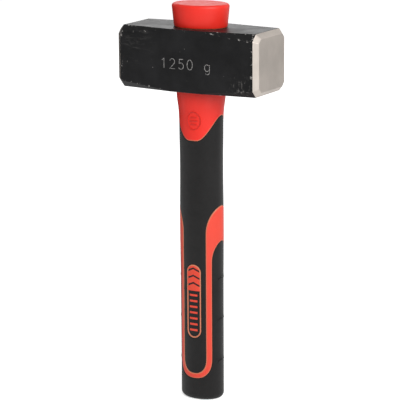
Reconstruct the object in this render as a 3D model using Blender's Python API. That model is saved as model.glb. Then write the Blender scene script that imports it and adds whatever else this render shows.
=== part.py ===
"""Lump hammer: a forged head bonded onto an oval handle with a fibreglass core and a soft two-part grip.

The hammer stands head up. Z is the handle's axis, X runs along the head from one striking face to
the other, and the origin is the middle of the butt's lowest plane. Sizes are in metres.

Every piece of the handle is a loft of oval rings that share one set of columns, so neighbouring
pieces follow each other with an even gap. A column is an angle round the handle: 0 degrees is the
front (-Y), 90 degrees the side (+X), and the pattern repeats in all four quarters.
"""

import math

import bmesh
import bpy

# Overall sizes
OVERALL_HEIGHT = 0.280
HEAD_LENGTH = 0.110
HEAD_SIDE = 0.043
CAP_HEIGHT = 0.016

# Head
FACE_BEVEL = 0.0034
CORNER_CHAMFER = 0.0048
LEAST_CHAMFER = 0.0003
PLAIN_LENGTH = 0.032
CHAMFER_STEPS = 5

# Gap between touching pieces, and the glue line in the eye
GAP = 0.0003
BOND_THICKNESS = 0.0004

# Handle section: half-width along X, and the depth along Y as a share of the width
GRIP_HALF_WIDTH = 0.0159
OVALITY = 0.80
SOFT_THICKNESS = 0.0022
BUTT_THICKNESS = 0.0050
BUTT_ROUND = 0.0038

# Upwards from the grip: the collar flares, the neck tapers out through the eye, and the cap
# covers the eye's mouth and flares again to its top
COLLAR_FLARE = 0.0019
NECK_TAPER = 0.0002
CAP_OVERHANG = 0.0003
CAP_FLARE = 0.0014
CAP_ROUND = 0.0020

# How much the handle swells past GRIP_HALF_WIDTH, at distances below the head
SWELLS = (
    (0.0064, 0.00165),
    (0.0122, 0.00080),
    (0.0180, 0.00030),
    (0.0345, 0.00010),
    (0.0460, -0.00010),
    (0.0630, -0.00010),
    (0.0800, 0.00010),
    (0.1150, 0.00010),
    (0.1320, -0.00005),
    (0.1850, -0.00010),
)

# Fibreglass core
CORE_DIAMETER = 0.014
CORE_COVER = 0.008
CORE_SIDES = 32

# Where the hard collar ends and the soft grip starts, below the head
TONGUE_TIP_DROP = 0.0348
TONGUE_SIDE_DROP = 0.0175
TONGUE_FLAT_ANGLE = 10.0
TONGUE_END_ANGLE = 87.0

# The hard band that winds between the front and rear panels and the two side panels.
# An arch passes over each side panel, and a bow passes under each front or rear panel.
PANEL_ANGLE = 34.0
PANEL_ARCH_DROP = 0.0810
PANEL_ARCH_HEIGHT = 0.0194
PANEL_BOW_RISE = 0.0197
PANEL_BOW_HEIGHT = 0.0112
SIDE_ANGLE = 51.7
SIDE_ARCH_DROP = 0.1060
SIDE_ARCH_HEIGHT = 0.0148
SIDE_BOW_RISE = 0.0160
SIDE_BOW_HEIGHT = 0.0155
ROUND_POWER = 2.0
FULL_POWER = 2.4

# Oblong badge in the middle of the front and the rear panel
BADGE_WIDTH = 0.0112
BADGE_LENGTH = 0.0530
BADGE_RISE = 0.0258
BADGE_BORDER = 0.0010
BADGE_SIDES = 11

# Columns round the handle
CURVE_STEPS = 5
LEAST_STEP = 2.4
EDGE_STEP = 0.15

HEAD_TOP = OVERALL_HEIGHT - CAP_HEIGHT
HEAD_BOTTOM = HEAD_TOP - HEAD_SIDE
CAP_SEAT = HEAD_TOP + GAP
BODY_BOTTOM = BUTT_THICKNESS + GAP
EYE_PLAY = 2.0 * GAP + BOND_THICKNESS
COLLAR_HALF_WIDTH = GRIP_HALF_WIDTH + COLLAR_FLARE
NECK_TOP_HALF_WIDTH = COLLAR_HALF_WIDTH + NECK_TAPER
CAP_BASE_HALF_WIDTH = NECK_TOP_HALF_WIDTH + EYE_PLAY + CAP_OVERHANG
CAP_TOP_HALF_WIDTH = CAP_BASE_HALF_WIDTH + CAP_FLARE
GAP_ANGLE = math.degrees(GAP / GRIP_HALF_WIDTH)


def rounded(share, power):
    """Height of a superellipse's arc at a share of its half-width: 0 in the middle and 1 at the end."""
    return 1.0 - max(0.0, 1.0 - share**power) ** (1.0 / power)


def tongue_edge(angle, inset=0.0):
    """Height of the line between the collar and the upper grip; inset moves it down, square to itself."""
    turn = TONGUE_END_ANGLE - TONGUE_FLAT_ANGLE
    share = min(1.0, max(0.0, (angle - TONGUE_FLAT_ANGLE) / turn))
    blend = share * share * (3.0 - 2.0 * share)
    depth = TONGUE_TIP_DROP - TONGUE_SIDE_DROP
    slope = 6.0 * share * (1.0 - share) * depth / (math.radians(turn) * GRIP_HALF_WIDTH)
    return HEAD_BOTTOM - TONGUE_TIP_DROP + depth * blend - inset * math.hypot(1.0, slope)


def panel_edge(angle, inset=0.0):
    """Height of the band's upper edge, under the upper grip; inset shrinks the grip."""
    side = PANEL_ANGLE - math.degrees(inset / GRIP_HALF_WIDTH)
    if angle <= side:
        bow = PANEL_BOW_HEIGHT * rounded(angle / side, FULL_POWER)
        return PANEL_BOW_RISE + inset + bow
    arch = PANEL_ARCH_HEIGHT * rounded((90.0 - angle) / (90.0 - side), ROUND_POWER)
    return HEAD_BOTTOM - PANEL_ARCH_DROP + inset - arch


def side_edge(angle, inset=0.0):
    """Height of the band's lower edge, over the lower grip; inset shrinks the grip."""
    side = SIDE_ANGLE + math.degrees(inset / GRIP_HALF_WIDTH)
    if angle <= side:
        bow = SIDE_BOW_HEIGHT * rounded(angle / side, FULL_POWER)
        return SIDE_BOW_RISE - inset + bow
    arch = SIDE_ARCH_HEIGHT * rounded((90.0 - angle) / (90.0 - side), ROUND_POWER)
    return HEAD_BOTTOM - SIDE_ARCH_DROP - inset - arch


def quarter_columns():
    """Angles from 0 to 90 degrees: closer at the edges' bends, and paired where an edge runs along Z."""
    sides = (PANEL_ANGLE - GAP_ANGLE, PANEL_ANGLE, SIDE_ANGLE, SIDE_ANGLE + GAP_ANGLE)
    fixed = [0.0, 90.0]
    for side in sides:
        fixed += [side, side + EDGE_STEP]
    wanted = []
    for step in range(1, CURVE_STEPS):
        turn = math.radians(90.0 * step / CURVE_STEPS)
        for side in (PANEL_ANGLE, SIDE_ANGLE):
            wanted.append(side * math.sin(turn))
            wanted.append(90.0 - (90.0 - side) * math.cos(turn))
    columns = sorted(fixed)
    for angle in sorted(wanted):
        if all(abs(angle - other) >= LEAST_STEP for other in columns):
            columns.append(angle)
    return sorted(columns)


def all_columns():
    """(angle round the handle, the same angle folded into the first quarter) for each column."""
    quarter = quarter_columns()
    columns = [(angle, angle) for angle in quarter]
    columns += [(180.0 - angle, angle) for angle in reversed(quarter[:-1])]
    columns += [(180.0 + angle, angle) for angle in quarter[1:]]
    columns += [(360.0 - angle, angle) for angle in reversed(quarter[1:-1])]
    return columns


COLUMNS = all_columns()


def outline(height):
    """Half-width of the handle's outer surface below the head."""
    drop = HEAD_BOTTOM - height
    stations = [(0.0, COLLAR_HALF_WIDTH)]
    stations += [(below, GRIP_HALF_WIDTH + swell) for below, swell in SWELLS]
    if drop <= 0.0:
        return COLLAR_HALF_WIDTH
    for (above, wide), (below, narrow) in zip(stations, stations[1:]):
        if drop <= below:
            return wide + (narrow - wide) * (drop - above) / (below - above)
    return stations[-1][1]


def oval_ring(half_width, height, inset=0.0):
    """A ring of points; half_width and height are numbers, or functions of the height or the angle."""
    ring = []
    for turn, angle in COLUMNS:
        z = height(angle) if callable(height) else height
        wide = half_width(z) if callable(half_width) else half_width
        around = math.radians(turn)
        x = (wide - inset) * math.sin(around)
        y = -(OVALITY * wide - inset) * math.cos(around)
        ring.append((x, y, z))
    return ring


def between(upper, lower, share):
    """The edge that lies this share of the way from the upper edge to the lower one."""
    return lambda angle: upper(angle) + (lower(angle) - upper(angle)) * share


def mesh_object(name, bm):
    mesh = bpy.data.meshes.new(name)
    bm.to_mesh(mesh)
    bm.free()
    mesh.shade_smooth()
    mesh.set_sharp_from_angle(angle=math.radians(32.0))
    made = bpy.data.objects.new(name, mesh)
    bpy.context.scene.collection.objects.link(made)
    return made


def loft(name, rings, tube=False):
    """Joins rings that run down the outside. A tube comes back up inside and meets its first ring."""
    bm = bmesh.new()
    loops = [[bm.verts.new(point) for point in ring] for ring in rings]
    pairs = list(zip(loops, loops[1:]))
    if tube:
        pairs.append((loops[-1], loops[0]))
    else:
        bm.faces.new(loops[0])
        bm.faces.new(reversed(loops[-1]))
    count = len(loops[0])
    for upper, lower in pairs:
        for n in range(count):
            after = (n + 1) % count
            bm.faces.new((upper[n], lower[n], lower[after], upper[after]))
    return mesh_object(name, bm)


def helper(made):
    """Marks an object as a tool for Booleans, not a piece."""
    made.hide_render = True
    made.display_type = "WIRE"
    return made


def combine(made, tool, operation):
    step = made.modifiers.new(operation.title() + " " + tool.name, "BOOLEAN")
    step.operation = operation
    step.solver = "EXACT"
    step.object = tool
    return made


def finish(made, colour, roughness, metallic=0.0):
    material = bpy.data.materials.new(made.name)
    material.use_nodes = True
    shader = material.node_tree.nodes["Principled BSDF"]
    shader.inputs["Base Color"].default_value = (*colour, 1.0)
    shader.inputs["Roughness"].default_value = roughness
    shader.inputs["Metallic"].default_value = metallic
    made.data.materials.clear()
    made.data.materials.append(material)
    return made


def head_section(x, half_side, chamfer):
    """Eight corners of a square with cut corners, round the X axis at x, level with the head's middle."""
    centre = HEAD_TOP - HEAD_SIDE / 2.0
    short = half_side - chamfer
    corners = ((short, -half_side), (half_side, -short), (half_side, short), (short, half_side))
    corners += tuple((-y, -z) for y, z in corners)
    return [(x, y, centre + z) for y, z in corners]


def make_head():
    """Square block whose long edges are chamfered more and more towards the bevelled striking faces."""
    half_length = HEAD_LENGTH / 2.0
    shoulder = half_length - FACE_BEVEL
    plain = PLAIN_LENGTH / 2.0
    half_side = HEAD_SIDE / 2.0
    stations = []
    for step in range(CHAMFER_STEPS + 1):
        share = step / CHAMFER_STEPS
        x = plain + (shoulder - plain) * share
        chamfer = LEAST_CHAMFER + (CORNER_CHAMFER - LEAST_CHAMFER) * share**0.8
        stations.append((x, half_side, chamfer))
    face_chamfer = CORNER_CHAMFER - FACE_BEVEL * (2.0 - math.sqrt(2.0))
    stations.append((half_length, half_side - FACE_BEVEL, face_chamfer))
    rings = [head_section(*station) for station in reversed(stations)]
    rings += [head_section(-x, side, chamfer) for x, side, chamfer in stations]
    head = loft("hammer_head", rings)
    spare = HEAD_SIDE / 20.0
    widening = NECK_TAPER / 20.0
    eye_rings = [
        oval_ring(NECK_TOP_HALF_WIDTH + widening, HEAD_TOP + spare, -EYE_PLAY),
        oval_ring(COLLAR_HALF_WIDTH - widening, HEAD_BOTTOM - spare, -EYE_PLAY),
    ]
    eye = loft("eye_cutter", eye_rings)
    combine(head, helper(eye), "DIFFERENCE")
    return finish(head, (0.020, 0.020, 0.021), 0.32)


def make_eye_bond():
    """Glue line between the neck and the wall of the eye."""
    outside = -(GAP + BOND_THICKNESS)
    rings = [
        oval_ring(NECK_TOP_HALF_WIDTH, HEAD_TOP, outside),
        oval_ring(COLLAR_HALF_WIDTH, HEAD_BOTTOM, outside),
        oval_ring(COLLAR_HALF_WIDTH, HEAD_BOTTOM, -GAP),
        oval_ring(NECK_TOP_HALF_WIDTH, HEAD_TOP, -GAP),
    ]
    return finish(loft("eye_bond", rings, tube=True), (0.42, 0.30, 0.12), 0.35)


def cap_rings():
    """The flared cap above the head, from its flat top to its seat on the head."""
    rings = []
    for turn in (90.0, 60.0, 30.0, 0.0):
        round_in = CAP_ROUND * (1.0 - math.cos(math.radians(turn)))
        round_down = CAP_ROUND * (1.0 - math.sin(math.radians(turn)))
        rings.append(oval_ring(CAP_TOP_HALF_WIDTH, OVERALL_HEIGHT - round_down, round_in))
    rings.append(oval_ring(CAP_BASE_HALF_WIDTH, CAP_SEAT))
    rings.append(oval_ring(NECK_TOP_HALF_WIDTH, CAP_SEAT))
    return rings


def collar_rings():
    """The visible collar between the head and the highest point of the upper grip."""
    drops = [0.0] + [below for below, _ in SWELLS if below < TONGUE_SIDE_DROP]
    return [oval_ring(outline, HEAD_BOTTOM - drop) for drop in drops]


def pill(name, half_width, half_length, front):
    """Oblong prism along Y with round ends, through the front or the rear panel."""
    middle = PANEL_BOW_RISE + BADGE_RISE + BADGE_LENGTH / 2.0
    straight = half_length - half_width
    outer = OVALITY * GRIP_HALF_WIDTH + SOFT_THICKNESS * 2.0
    bm = bmesh.new()
    loops = []
    for y in (-outer, -outer / 4.0):
        loop = []
        for n in range(2 * BADGE_SIDES + 2):
            end = 1.0 if n <= BADGE_SIDES else -1.0
            turn = math.pi * (n if n <= BADGE_SIDES else n - 1) / BADGE_SIDES
            x = half_width * math.cos(turn)
            z = middle + end * straight + half_width * math.sin(turn)
            loop.append(bm.verts.new((x, y if front else -y, z)))
        loops.append(loop)
    bm.faces.new(loops[0])
    bm.faces.new(loops[1])
    bmesh.ops.bridge_loops(bm, edges=[e for e in bm.edges])
    bmesh.ops.recalc_face_normals(bm, faces=bm.faces)
    return helper(mesh_object(name, bm))


def badge_tools(front):
    """Prisms for the window in the grip, the border's two sides and the infill."""
    word = "front" if front else "rear"
    half_width = BADGE_WIDTH / 2.0
    half_length = BADGE_LENGTH / 2.0
    insets = {
        "window": -GAP,
        "border": 0.0,
        "recess": BADGE_BORDER,
        "infill": BADGE_BORDER + GAP,
    }
    return {
        use: pill(word + "_" + use + "_prism", half_width - inset, half_length - inset, front)
        for use, inset in insets.items()
    }


def outline_solid(name, inner=False):
    """The handle's outer surface over the length of the badge, full or with the hard body taken out."""
    spare = BADGE_BORDER * 4.0
    bottom = PANEL_BOW_RISE + BADGE_RISE - spare
    top = bottom + BADGE_LENGTH + spare * 2.0
    steps = 8
    heights = [top + (bottom - top) * step / steps for step in range(steps + 1)]
    rings = [oval_ring(outline, z) for z in heights]
    if inner:
        rings += [oval_ring(GRIP_HALF_WIDTH, z, SOFT_THICKNESS - GAP) for z in (bottom, top)]
    return helper(loft(name, rings, tube=inner))


def core_shape(name, inset, bottom):
    """Round rod under the cap: the core itself, or its bore when inset is the gap round it."""
    radius = CORE_DIAMETER / 2.0 + inset
    turns = [2.0 * math.pi * n / CORE_SIDES for n in range(CORE_SIDES)]
    rings = []
    for z in (OVERALL_HEIGHT - CORE_COVER + inset, bottom):
        rings.append([(radius * math.sin(turn), -radius * math.cos(turn), z) for turn in turns])
    return loft(name, rings)


def make_handle_body(tools):
    """Hard plastic body: cap, neck, collar, winding band and badge borders in one moulding."""
    rings = cap_rings() + collar_rings()
    rings.append(oval_ring(outline, tongue_edge))
    rings.append(oval_ring(GRIP_HALF_WIDTH, tongue_edge, SOFT_THICKNESS))
    rings.append(oval_ring(GRIP_HALF_WIDTH, panel_edge, SOFT_THICKNESS))
    for share in (0.0, 0.25, 0.5, 0.75, 1.0):
        rings.append(oval_ring(outline, between(panel_edge, side_edge, share)))
    rings.append(oval_ring(GRIP_HALF_WIDTH, side_edge, SOFT_THICKNESS))
    rings.append(oval_ring(GRIP_HALF_WIDTH, BODY_BOTTOM, SOFT_THICKNESS))
    body = loft("handle_body", rings)
    for word, prisms in tools.items():
        border = combine(outline_solid(word + "_border"), prisms["border"], "INTERSECT")
        combine(border, prisms["recess"], "DIFFERENCE")
        combine(body, border, "UNION")
    bore = helper(core_shape("core_bore", GAP, BODY_BOTTOM - BUTT_THICKNESS / 2.0))
    combine(body, bore, "DIFFERENCE")
    return finish(body, (0.78, 0.045, 0.030), 0.33)


def make_core():
    core = core_shape("fibreglass_core", 0.0, BODY_BOTTOM + GAP)
    return finish(core, (0.72, 0.62, 0.36), 0.45)


def make_upper_grip(tools):
    """Soft sleeve with a front and a rear panel that reach down to the band's bows."""

    def top(angle):
        return tongue_edge(angle, GAP)

    def bottom(angle):
        return panel_edge(angle, GAP)

    inset = SOFT_THICKNESS - GAP
    shares = (0.0, 0.1, 0.2, 0.35, 0.5, 0.65, 0.8, 1.0)
    rings = [oval_ring(outline, between(top, bottom, share)) for share in shares]
    rings.append(oval_ring(GRIP_HALF_WIDTH, bottom, inset))
    rings.append(oval_ring(GRIP_HALF_WIDTH, top, inset))
    grip = loft("upper_soft_grip", rings, tube=True)
    for prisms in tools.values():
        combine(grip, prisms["window"], "DIFFERENCE")
    return finish(grip, (0.028, 0.027, 0.027), 0.62)


def make_lower_grip():
    """Soft boot with two side panels and a closed butt."""

    def top(angle):
        return side_edge(angle, GAP)

    inset = SOFT_THICKNESS - GAP
    shares = (0.0, 0.15, 0.35, 0.55, 0.75, 1.0)
    rings = [oval_ring(GRIP_HALF_WIDTH, z, inset) for z in (BUTT_THICKNESS, top)]
    rings += [oval_ring(outline, between(top, lambda angle: BUTT_ROUND, share)) for share in shares]
    for turn in (30.0, 60.0, 90.0):
        round_in = BUTT_ROUND * (1.0 - math.cos(math.radians(turn)))
        height = BUTT_ROUND * (1.0 - math.sin(math.radians(turn)))
        rings.append(oval_ring(outline(0.0), height, round_in))
    return finish(loft("lower_soft_grip", rings), (0.028, 0.027, 0.027), 0.62)


def make_badge_infills(tools):
    """Soft islands inside the badge borders."""
    for word, prisms in tools.items():
        infill = outline_solid(word + "_badge_infill", inner=True)
        combine(infill, prisms["infill"], "INTERSECT")
        infill.hide_render = False
        infill.display_type = "TEXTURED"
        finish(infill, (0.030, 0.028, 0.028), 0.60)


def main():
    for old in list(bpy.data.objects):
        bpy.data.objects.remove(old, do_unlink=True)
    tools = {"front": badge_tools(True), "rear": badge_tools(False)}
    make_head()
    make_eye_bond()
    make_handle_body(tools)
    make_core()
    make_upper_grip(tools)
    make_lower_grip()
    make_badge_infills(tools)


main()
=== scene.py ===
"""Looks of a lump hammer: lacquered forged head, red moulded handle and soft two-part grip.

The pieces are built round the CAD frame, in metres. The handle's skin is drawn unrolled, as
degrees round from the front and height, with a depth below the surface at each point. One quarter
is drawn and repeated in the other three, so neighbouring pieces share their seam lines.
"""

import math

import bmesh
import bpy
from mathutils import Matrix, Vector, noise
from mathutils.geometry import delaunay_2d_cdt


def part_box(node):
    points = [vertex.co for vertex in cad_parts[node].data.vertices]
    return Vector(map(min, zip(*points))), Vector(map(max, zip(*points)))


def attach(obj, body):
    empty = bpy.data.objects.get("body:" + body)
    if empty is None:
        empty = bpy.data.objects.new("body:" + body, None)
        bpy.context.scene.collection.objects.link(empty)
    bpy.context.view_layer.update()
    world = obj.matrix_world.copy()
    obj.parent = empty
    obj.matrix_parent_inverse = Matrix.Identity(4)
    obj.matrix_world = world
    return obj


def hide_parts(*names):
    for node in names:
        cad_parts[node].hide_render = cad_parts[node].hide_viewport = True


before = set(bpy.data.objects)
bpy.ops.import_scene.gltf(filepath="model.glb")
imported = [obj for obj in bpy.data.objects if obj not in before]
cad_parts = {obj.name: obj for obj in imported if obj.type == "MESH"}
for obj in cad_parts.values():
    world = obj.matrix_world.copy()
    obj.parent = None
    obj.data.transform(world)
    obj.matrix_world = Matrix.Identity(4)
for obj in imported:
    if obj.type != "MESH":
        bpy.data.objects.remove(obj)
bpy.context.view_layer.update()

bl_info = {
    "name": "Lump Hammer",
    "version": (1, 0, 0),
    "blender": (4, 5, 0),
    "location": "3D View > Sidebar > Hammer",
    "description": "Builds the looks of a lump hammer round its CAD frame",
    "category": "Add Mesh",
}

MILLIMETRE = 0.001

# From the frame
HEAD_LOW, HEAD_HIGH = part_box("hammer_head")
BODY_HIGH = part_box("handle_body")[1]
CORE_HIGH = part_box("fibreglass_core")[1]
BOND_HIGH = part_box("eye_bond")[1]
HEAD_BOTTOM = HEAD_LOW.z
HEAD_TOP = HEAD_HIGH.z
HEAD_HALF_LENGTH = HEAD_HIGH.x
HEAD_HALF_SIDE = HEAD_HIGH.y
HEAD_MIDDLE = (HEAD_TOP + HEAD_BOTTOM) / 2.0
CAP_TOP = BODY_HIGH.z
CAP_TOP_HALF_WIDTH = BODY_HIGH.x
CORE_RADIUS = CORE_HIGH.x

# Head
FACE_BEVEL = 0.0034
CORNER_CHAMFER = 0.0048
LEAST_CHAMFER = 0.0003
PLAIN_LENGTH = 0.026
CHAMFER_POWER = 0.9
HEAD_STATIONS = 16
WEAR_BAND = 0.0012
UNEVENNESS = 0.05

# Where the lacquer is scratched and scuffed on the front of the head
SCRATCHED_PLACE = (0.042, -HEAD_HALF_SIDE, 0.2285)
SCUFFED_PLACE = (-0.040, -HEAD_HALF_SIDE, 0.2545)

# Handle section, and the pieces' places on it
GRIP_HALF_WIDTH = 0.0159
OVALITY = 0.80
SOFT_THICKNESS = 0.0022
GAP = 0.0003
COLLAR_HALF_WIDTH = 0.0178
NECK_HALF_WIDTH = 0.0180
CAP_BASE_HALF_WIDTH = 0.0193
CAP_ROUND = 0.0020
CAP_FOOT = 0.0005
CAP_SEAT = HEAD_TOP + GAP
CROWN_INSETS = (0.012, 0.008, 0.005, 0.0035, 0.0026)
BUTT_THICKNESS = 0.0050
BUTT_ROUND = 0.0038
BODY_BOTTOM = BUTT_THICKNESS + GAP
SWELLS = (
    (0.0064, 0.00165),
    (0.0122, 0.00080),
    (0.0180, 0.00030),
    (0.0345, 0.00010),
    (0.0460, -0.00010),
    (0.0630, -0.00010),
    (0.0800, 0.00010),
    (0.1150, 0.00010),
    (0.1320, -0.00005),
    (0.1850, -0.00010),
)
OUTLINE = [(0.0, COLLAR_HALF_WIDTH), *((drop, GRIP_HALF_WIDTH + swell) for drop, swell in SWELLS)]

# Seam lines: collar tongue, panels and winding band
TONGUE_TIP_DROP = 0.0348
TONGUE_SIDE_DROP = 0.0175
TONGUE_FLAT_ANGLE = 10.0
TONGUE_END_ANGLE = 87.0
PANEL_ANGLE = 34.0
PANEL_ARCH_DROP = 0.0810
PANEL_ARCH_HEIGHT = 0.0194
PANEL_BOW_RISE = 0.0197
PANEL_BOW_HEIGHT = 0.0112
SIDE_ANGLE = 51.7
SIDE_ARCH_DROP = 0.1060
SIDE_ARCH_HEIGHT = 0.0148
SIDE_BOW_RISE = 0.0160
SIDE_BOW_HEIGHT = 0.0155
ROUND_POWER = 2.0
FULL_POWER = 2.4

# Oblong badge
BADGE_WIDTH = 0.0112
BADGE_LENGTH = 0.0530
BADGE_RISE = 0.0258
BADGE_BORDER = 0.0010
BADGE_MIDDLE = PANEL_BOW_RISE + BADGE_RISE + BADGE_LENGTH / 2.0

# Finger ribs across the side panels: each climbs from the panel's front to the middle of the side
RIB_HEIGHTS = (0.0270, 0.0571, 0.0866)
RIB_START_ANGLE = 63.0
RIB_CLIMB = 0.0022
RIB_FADE = 2.5

# Section of a rib: distance up from its groove, and depth
RIB_PROFILE = ((-0.0006, 0.0), (0.0, 0.0006), (0.0006, -0.00030), (0.0016, -0.00018), (0.0032, 0.0))

# How finely the skin is cut
COLUMN_STEP = 3.0
COLUMNS = int(90.0 / COLUMN_STEP)
CURVE_STEPS = 20
STRAIGHT_STEP = 0.0025
DOT_ROW = 0.003
DOT_CLEARANCE = 0.0008
WELD = 1e-6

# Seam profile: distance in from the seam and depth, as shares of the seam's width and depth, and
# how strongly the edge carries the painted highlight, a paler colour standing in for light caught
# by the rounded edge
EDGE_PROFILE = (
    (0.0, 1.0, 0.9),
    (0.12, 0.5, 0.9),
    (0.35, 0.14, 0.8),
    (0.7, 0.02, 0.35),
    (1.0, 0.0, 0.0),
)
NARROW_SEAM = 0.00042
# Share of the painted highlight spread over the whole band, and along the badge's border
BAND_PAINTED_HIGHLIGHT = 0.18
BORDER_PAINTED_HIGHLIGHT = 0.9
FOOT = 0.00003

QUARTERS = ((1.0, 1.0), (1.0, -1.0), (-1.0, -1.0), (-1.0, 1.0))
FRONT_HALVES = ((1.0, 1.0), (-1.0, 1.0))
REAR_HALVES = ((1.0, -1.0), (-1.0, -1.0))

LENGTH = {"unit": "LENGTH", "subtype": "DISTANCE"}


class HammerSizes(bpy.types.PropertyGroup):
    """Fine sizes that the CAD frame leaves to the surface."""

    arris_radius: bpy.props.FloatProperty(
        name="Arris radius", description="Rounding of the head's edges", default=0.00055, **LENGTH
    )
    seam_gap: bpy.props.FloatProperty(
        name="Seam gap",
        description="Open width between hard and soft plastic, to each side of the seam line",
        default=0.00006,
        **LENGTH,
    )
    seam_width: bpy.props.FloatProperty(
        name="Seam rounding",
        description="Distance over which each piece rounds down to its seam",
        default=0.00090,
        **LENGTH,
    )
    seam_depth: bpy.props.FloatProperty(
        name="Seam depth",
        description="Depth of the groove between hard and soft plastic",
        default=0.00055,
        **LENGTH,
    )
    soft_sink: bpy.props.FloatProperty(
        name="Soft sink",
        description="How far the soft plastic sits below the hard plastic",
        default=0.00008,
        **LENGTH,
    )
    mark_height: bpy.props.FloatProperty(
        name="Mark height",
        description="Height of the figures stamped into the head",
        default=0.0068,
        **LENGTH,
    )
    mark_stroke: bpy.props.FloatProperty(
        name="Mark stroke", description="Width of the figures' strokes", default=0.00050, **LENGTH
    )
    mark_depth: bpy.props.FloatProperty(
        name="Mark depth", description="How deep the weight is stamped", default=0.00018, **LENGTH
    )


class HammerColours(bpy.types.PropertyGroup):
    """Linear colours of the finishes."""

    lacquer: bpy.props.FloatVectorProperty(
        name="Lacquer",
        description="Black lacquer on the head",
        default=(0.007, 0.007, 0.0075),
        subtype="COLOR",
    )
    steel: bpy.props.FloatVectorProperty(
        name="Steel",
        description="Ground steel of the striking faces",
        default=(0.46, 0.415, 0.375),
        subtype="COLOR",
    )
    hard_red: bpy.props.FloatVectorProperty(
        name="Hard red",
        description="Red moulded plastic",
        default=(0.735, 0.020, 0.010),
        subtype="COLOR",
    )
    # Painted highlight: a paler colour on the red plastic's seam edges, standing in for light
    # caught by their rounding
    painted_highlight: bpy.props.FloatVectorProperty(
        name="Rim",
        description="Paler edge of the red plastic at its seams",
        default=(0.56, 0.21, 0.115),
        subtype="COLOR",
    )
    badge_red: bpy.props.FloatVectorProperty(
        name="Badge red",
        description="Orange-red of the badge marks",
        default=(0.70, 0.055, 0.026),
        subtype="COLOR",
    )
    soft_black: bpy.props.FloatVectorProperty(
        name="Soft black",
        description="Soft black plastic",
        default=(0.0085, 0.008, 0.008),
        subtype="COLOR",
    )
    resin: bpy.props.FloatVectorProperty(
        name="Resin", description="Resin in the eye", default=(0.42, 0.30, 0.12), subtype="COLOR"
    )
    fibreglass: bpy.props.FloatVectorProperty(
        name="Fibreglass", description="Core rod", default=(0.72, 0.62, 0.36), subtype="COLOR"
    )
    floor: bpy.props.FloatVectorProperty(
        name="Floor", description="Pale floor", default=(0.93, 0.93, 0.93), subtype="COLOR"
    )


class HammerLights(bpy.types.PropertyGroup):
    """Studio light."""

    sky: bpy.props.FloatProperty(
        name="Sky", description="Strength of the all-round light", default=0.42
    )
    backdrop: bpy.props.FloatProperty(
        name="Backdrop", description="Glow of the floor as it is seen", default=0.6
    )
    key: bpy.props.FloatProperty(
        name="Key", description="Light from the front right", default=24.5, unit="POWER"
    )
    side: bpy.props.FloatProperty(
        name="Side", description="Light from the back right", default=2.6, unit="POWER"
    )
    top: bpy.props.FloatProperty(
        name="Top", description="High light from behind", default=1.1, unit="POWER"
    )
    back: bpy.props.FloatProperty(
        name="Back", description="Low light from behind", default=2.8, unit="POWER"
    )


# Unrolled skin


def smooth_outline(height):
    """Half-width of the handle below the head, on a smooth curve through the outline's stations."""
    drop = HEAD_BOTTOM - height
    if drop <= 0.0:
        return COLLAR_HALF_WIDTH
    if drop >= OUTLINE[-1][0]:
        return OUTLINE[-1][1]
    n = max(i for i, station in enumerate(OUTLINE) if station[0] <= drop)
    last = len(OUTLINE) - 1
    before, start, end, after = (OUTLINE[min(max(i, 0), last)] for i in range(n - 1, n + 3))
    span = end[0] - start[0]
    leave = (end[1] - before[1]) / (end[0] - before[0]) * span
    arrive = (after[1] - start[1]) / (after[0] - start[0]) * span
    t = (drop - start[0]) / span
    rise = t * t * (3.0 - 2.0 * t)
    bend = t * (1.0 - t) * ((1.0 - t) * leave - t * arrive)
    return start[1] + (end[1] - start[1]) * rise + bend


def oval_point(half_width, angle, z, depth=0.0, side=(1.0, 1.0)):
    around = math.radians(angle)
    x = (half_width - depth) * math.sin(around)
    y = -(OVALITY * half_width - depth) * math.cos(around)
    return (x * side[0], y * side[1], z)


def skin_point(angle, z, depth, side=(1.0, 1.0)):
    return oval_point(smooth_outline(z), angle, z, depth, side)


def rounded(share, power):
    return 1.0 - max(0.0, 1.0 - share**power) ** (1.0 / power)


def tongue_edge(angle, inset=0.0):
    """Height of the collar's lower line; inset moves it down, square to itself."""
    turn = TONGUE_END_ANGLE - TONGUE_FLAT_ANGLE
    share = min(1.0, max(0.0, (angle - TONGUE_FLAT_ANGLE) / turn))
    blend = share * share * (3.0 - 2.0 * share)
    depth = TONGUE_TIP_DROP - TONGUE_SIDE_DROP
    slope = 6.0 * share * (1.0 - share) * depth / (math.radians(turn) * GRIP_HALF_WIDTH)
    return HEAD_BOTTOM - TONGUE_TIP_DROP + depth * blend - inset * math.hypot(1.0, slope)


def tongue_path(inset):
    return [(n * COLUMN_STEP, tongue_edge(n * COLUMN_STEP, inset)) for n in range(COLUMNS + 1)]


def corner(share, power):
    """A superellipse's quarter: across and up, at a share of its turn."""
    turn = math.radians(90.0 * share)
    return math.sin(turn) ** (2.0 / power), 1.0 - max(0.0, math.cos(turn)) ** (2.0 / power)


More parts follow.
